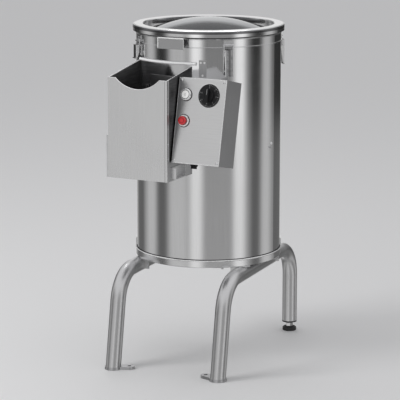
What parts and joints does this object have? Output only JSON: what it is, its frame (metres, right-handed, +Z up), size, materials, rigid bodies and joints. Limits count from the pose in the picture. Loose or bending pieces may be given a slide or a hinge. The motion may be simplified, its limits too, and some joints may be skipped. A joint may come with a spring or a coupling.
{
  "type": "potato peeler",
  "caption": "Floor-standing electric potato peeler with a steel drum on tube legs, abrasive disc, outlet chute, tilted control box and latched lid.",
  "frame": {"origin": "on the floor, in the middle of the rest pose's bounding box; the drum's axis stands 23 mm behind it", "axes": "+Z up along the drum's axis, -Y is the front with the chute and the control box, +X is the user's right"},
  "size_m": [0.4179, 0.6366, 0.94],
  "materials": {
    "brushed_steel": "satin",
    "panel_steel": "satin",
    "hardware_steel": "polished",
    "drive_steel": "machined",
    "abrasive": "rough mineral grit",
    "rubber": "matte",
    "black_plastic": "satin",
    "window": "clear",
    "white_plastic": "gloss",
    "red_plastic": "gloss",
    "motor_paint": "satin"
  },
  "bodies": {
    "frame": {"drum_shell": "brushed_steel", "base_band": "brushed_steel", "base_plate": "brushed_steel", "collar_ring": "brushed_steel", "chamber_floor": "brushed_steel", "abrasive_liner": "abrasive", "water_inlet": "hardware_steel", "drain_spigot": "hardware_steel", "right_leg_tube": "brushed_steel", "left_leg_tube": "brushed_steel", "tube_plugs": "black_plastic", "leg_saddles": "brushed_steel", "front_feet": "hardware_steel", "outlet_chute": "panel_steel", "chute_fittings": "panel_steel", "fixed_seals": "rubber", "door_hardware": "hardware_steel", "control_box": "brushed_steel", "control_face": "panel_steel", "face_screws": "hardware_steel", "box_bracket": "brushed_steel", "cable_gland": "black_plastic", "timer_dial": "black_plastic", "switchgear": "black_plastic", "button_rings": "hardware_steel", "hinge_bracket": "hardware_steel", "switch_housing": "panel_steel", "latch_bases": "hardware_steel", "latch_strikes": "hardware_steel", "bearings": "hardware_steel", "bearing_housing": "drive_steel", "motor": "motor_paint", "motor_plate": "brushed_steel", "drive_belt": "rubber"},
    "lid": {"lid_rim": "brushed_steel", "lid_seals": "rubber", "lid_window": "window", "lid_handle": "panel_steel", "lid_hinge": "hardware_steel", "switch_actuator": "panel_steel"},
    "door": {"outlet_door": "panel_steel"},
    "door_turn": {"door_handle": "hardware_steel"},
    "timer": {"timer_knob": "black_plastic"},
    "start": {"start_button": "white_plastic"},
    "stop": {"stop_button": "red_plastic"},
    "rotor": {"main_shaft": "drive_steel", "peeling_disc": "abrasive", "big_pulley": "drive_steel"},
    "motor_rotor": {"motor_pulley": "drive_steel"},
    "rear_foot": {"rear_foot_stud": "hardware_steel", "rear_foot_pad": "rubber"},
    "lever_front_left": {"lever_front_left": "hardware_steel"},
    "bail_front_left": {"bail_front_left": "hardware_steel"},
    "lever_front_right": {"lever_front_right": "hardware_steel"},
    "bail_front_right": {"bail_front_right": "hardware_steel"},
    "lever_rear_right": {"lever_rear_right": "hardware_steel"},
    "bail_rear_right": {"bail_rear_right": "hardware_steel"},
    "lever_rear_left": {"lever_rear_left": "hardware_steel"},
    "bail_rear_left": {"bail_rear_left": "hardware_steel"}
  },
  "joints": [
    {"name": "lid_hinge", "type": "hinge", "parent": "frame", "child": "lid", "pos_m": [0, 0.23867, 0.912], "axis": [-1, 0, 0], "range_deg": [0, 105]},
    {"name": "door_hinge", "type": "hinge", "parent": "frame", "child": "door", "pos_m": [-0.091, -0.17033, 0.68], "axis": [0, 0, -1], "range_deg": [0, 85]},
    {"name": "door_handle_turn", "type": "hinge", "parent": "door", "child": "door_turn", "pos_m": [0.008, -0.19463, 0.69], "axis": [0, 1, 0], "range_deg": [0, 90]},
    {"name": "timer_turn", "type": "hinge", "parent": "frame", "child": "timer", "pos_m": [0.144, -0.26193, 0.76769], "axis": [0, 0.9763, -0.2164], "range_deg": [0, 290]},
    {"name": "start_press", "type": "slide", "parent": "frame", "child": "start", "axis": [0, 0.9763, -0.2164], "range_m": [0, 0.003], "stiffness_N_per_m": 600},
    {"name": "stop_press", "type": "slide", "parent": "frame", "child": "stop", "axis": [0, 0.9763, -0.2164], "range_m": [0, 0.003], "stiffness_N_per_m": 800},
    {"name": "rotor_spin", "type": "hinge", "parent": "frame", "child": "rotor", "pos_m": [0, 0.01667, 0.5], "axis": [0, 0, 1], "continuous": true},
    {"name": "motor_spin", "type": "hinge", "parent": "frame", "child": "motor_rotor", "pos_m": [0.082, -0.06533, 0.46], "axis": [0, 0, 1], "continuous": true},
    {"name": "rear_foot_turn", "type": "hinge", "parent": "frame", "child": "rear_foot", "pos_m": [0.12406, 0.29708, 0.03], "axis": [0, 0, 1], "continuous": true},
    {"name": "lever_front_left_turn", "type": "hinge", "parent": "frame", "child": "lever_front_left", "pos_m": [-0.13985, -0.13864, 0.868], "axis": [-0.7431, 0.6691, 0], "range_deg": [0, 75]},
    {"name": "bail_front_left_turn", "type": "hinge", "parent": "lever_front_left", "child": "bail_front_left", "pos_m": [-0.13985, -0.13864, 0.858], "axis": [-0.7431, 0.6691, 0], "range_deg": [-90, 0]},
    {"name": "lever_front_right_turn", "type": "hinge", "parent": "frame", "child": "lever_front_right", "pos_m": [0.13985, -0.13864, 0.868], "axis": [-0.7431, -0.6691, 0], "range_deg": [0, 75]},
    {"name": "bail_front_right_turn", "type": "hinge", "parent": "lever_front_right", "child": "bail_front_right", "pos_m": [0.13985, -0.13864, 0.858], "axis": [-0.7431, -0.6691, 0], "range_deg": [-90, 0]},
    {"name": "lever_rear_right_turn", "type": "hinge", "parent": "frame", "child": "lever_rear_right", "pos_m": [0.15532, 0.15652, 0.868], "axis": [0.6691, -0.7431, 0], "range_deg": [0, 75]},
    {"name": "bail_rear_right_turn", "type": "hinge", "parent": "lever_rear_right", "child": "bail_rear_right", "pos_m": [0.15532, 0.15652, 0.858], "axis": [0.6691, -0.7431, 0], "range_deg": [-90, 0]},
    {"name": "lever_rear_left_turn", "type": "hinge", "parent": "frame", "child": "lever_rear_left", "pos_m": [-0.15532, 0.15652, 0.868], "axis": [0.6691, 0.7431, 0], "range_deg": [0, 75]},
    {"name": "bail_rear_left_turn", "type": "hinge", "parent": "lever_rear_left", "child": "bail_rear_left", "pos_m": [-0.15532, 0.15652, 0.858], "axis": [0.6691, 0.7431, 0], "range_deg": [-90, 0]}
  ],
  "couplings": [
    {"joint": "motor_spin", "follows": "rotor_spin", "ratio": 2.857},
    {"joint": "bail_front_left_turn", "follows": "lever_front_left_turn", "ratio": -1.2},
    {"joint": "bail_front_right_turn", "follows": "lever_front_right_turn", "ratio": -1.2},
    {"joint": "bail_rear_right_turn", "follows": "lever_rear_right_turn", "ratio": -1.2},
    {"joint": "bail_rear_left_turn", "follows": "lever_rear_left_turn", "ratio": -1.2}
  ]
}
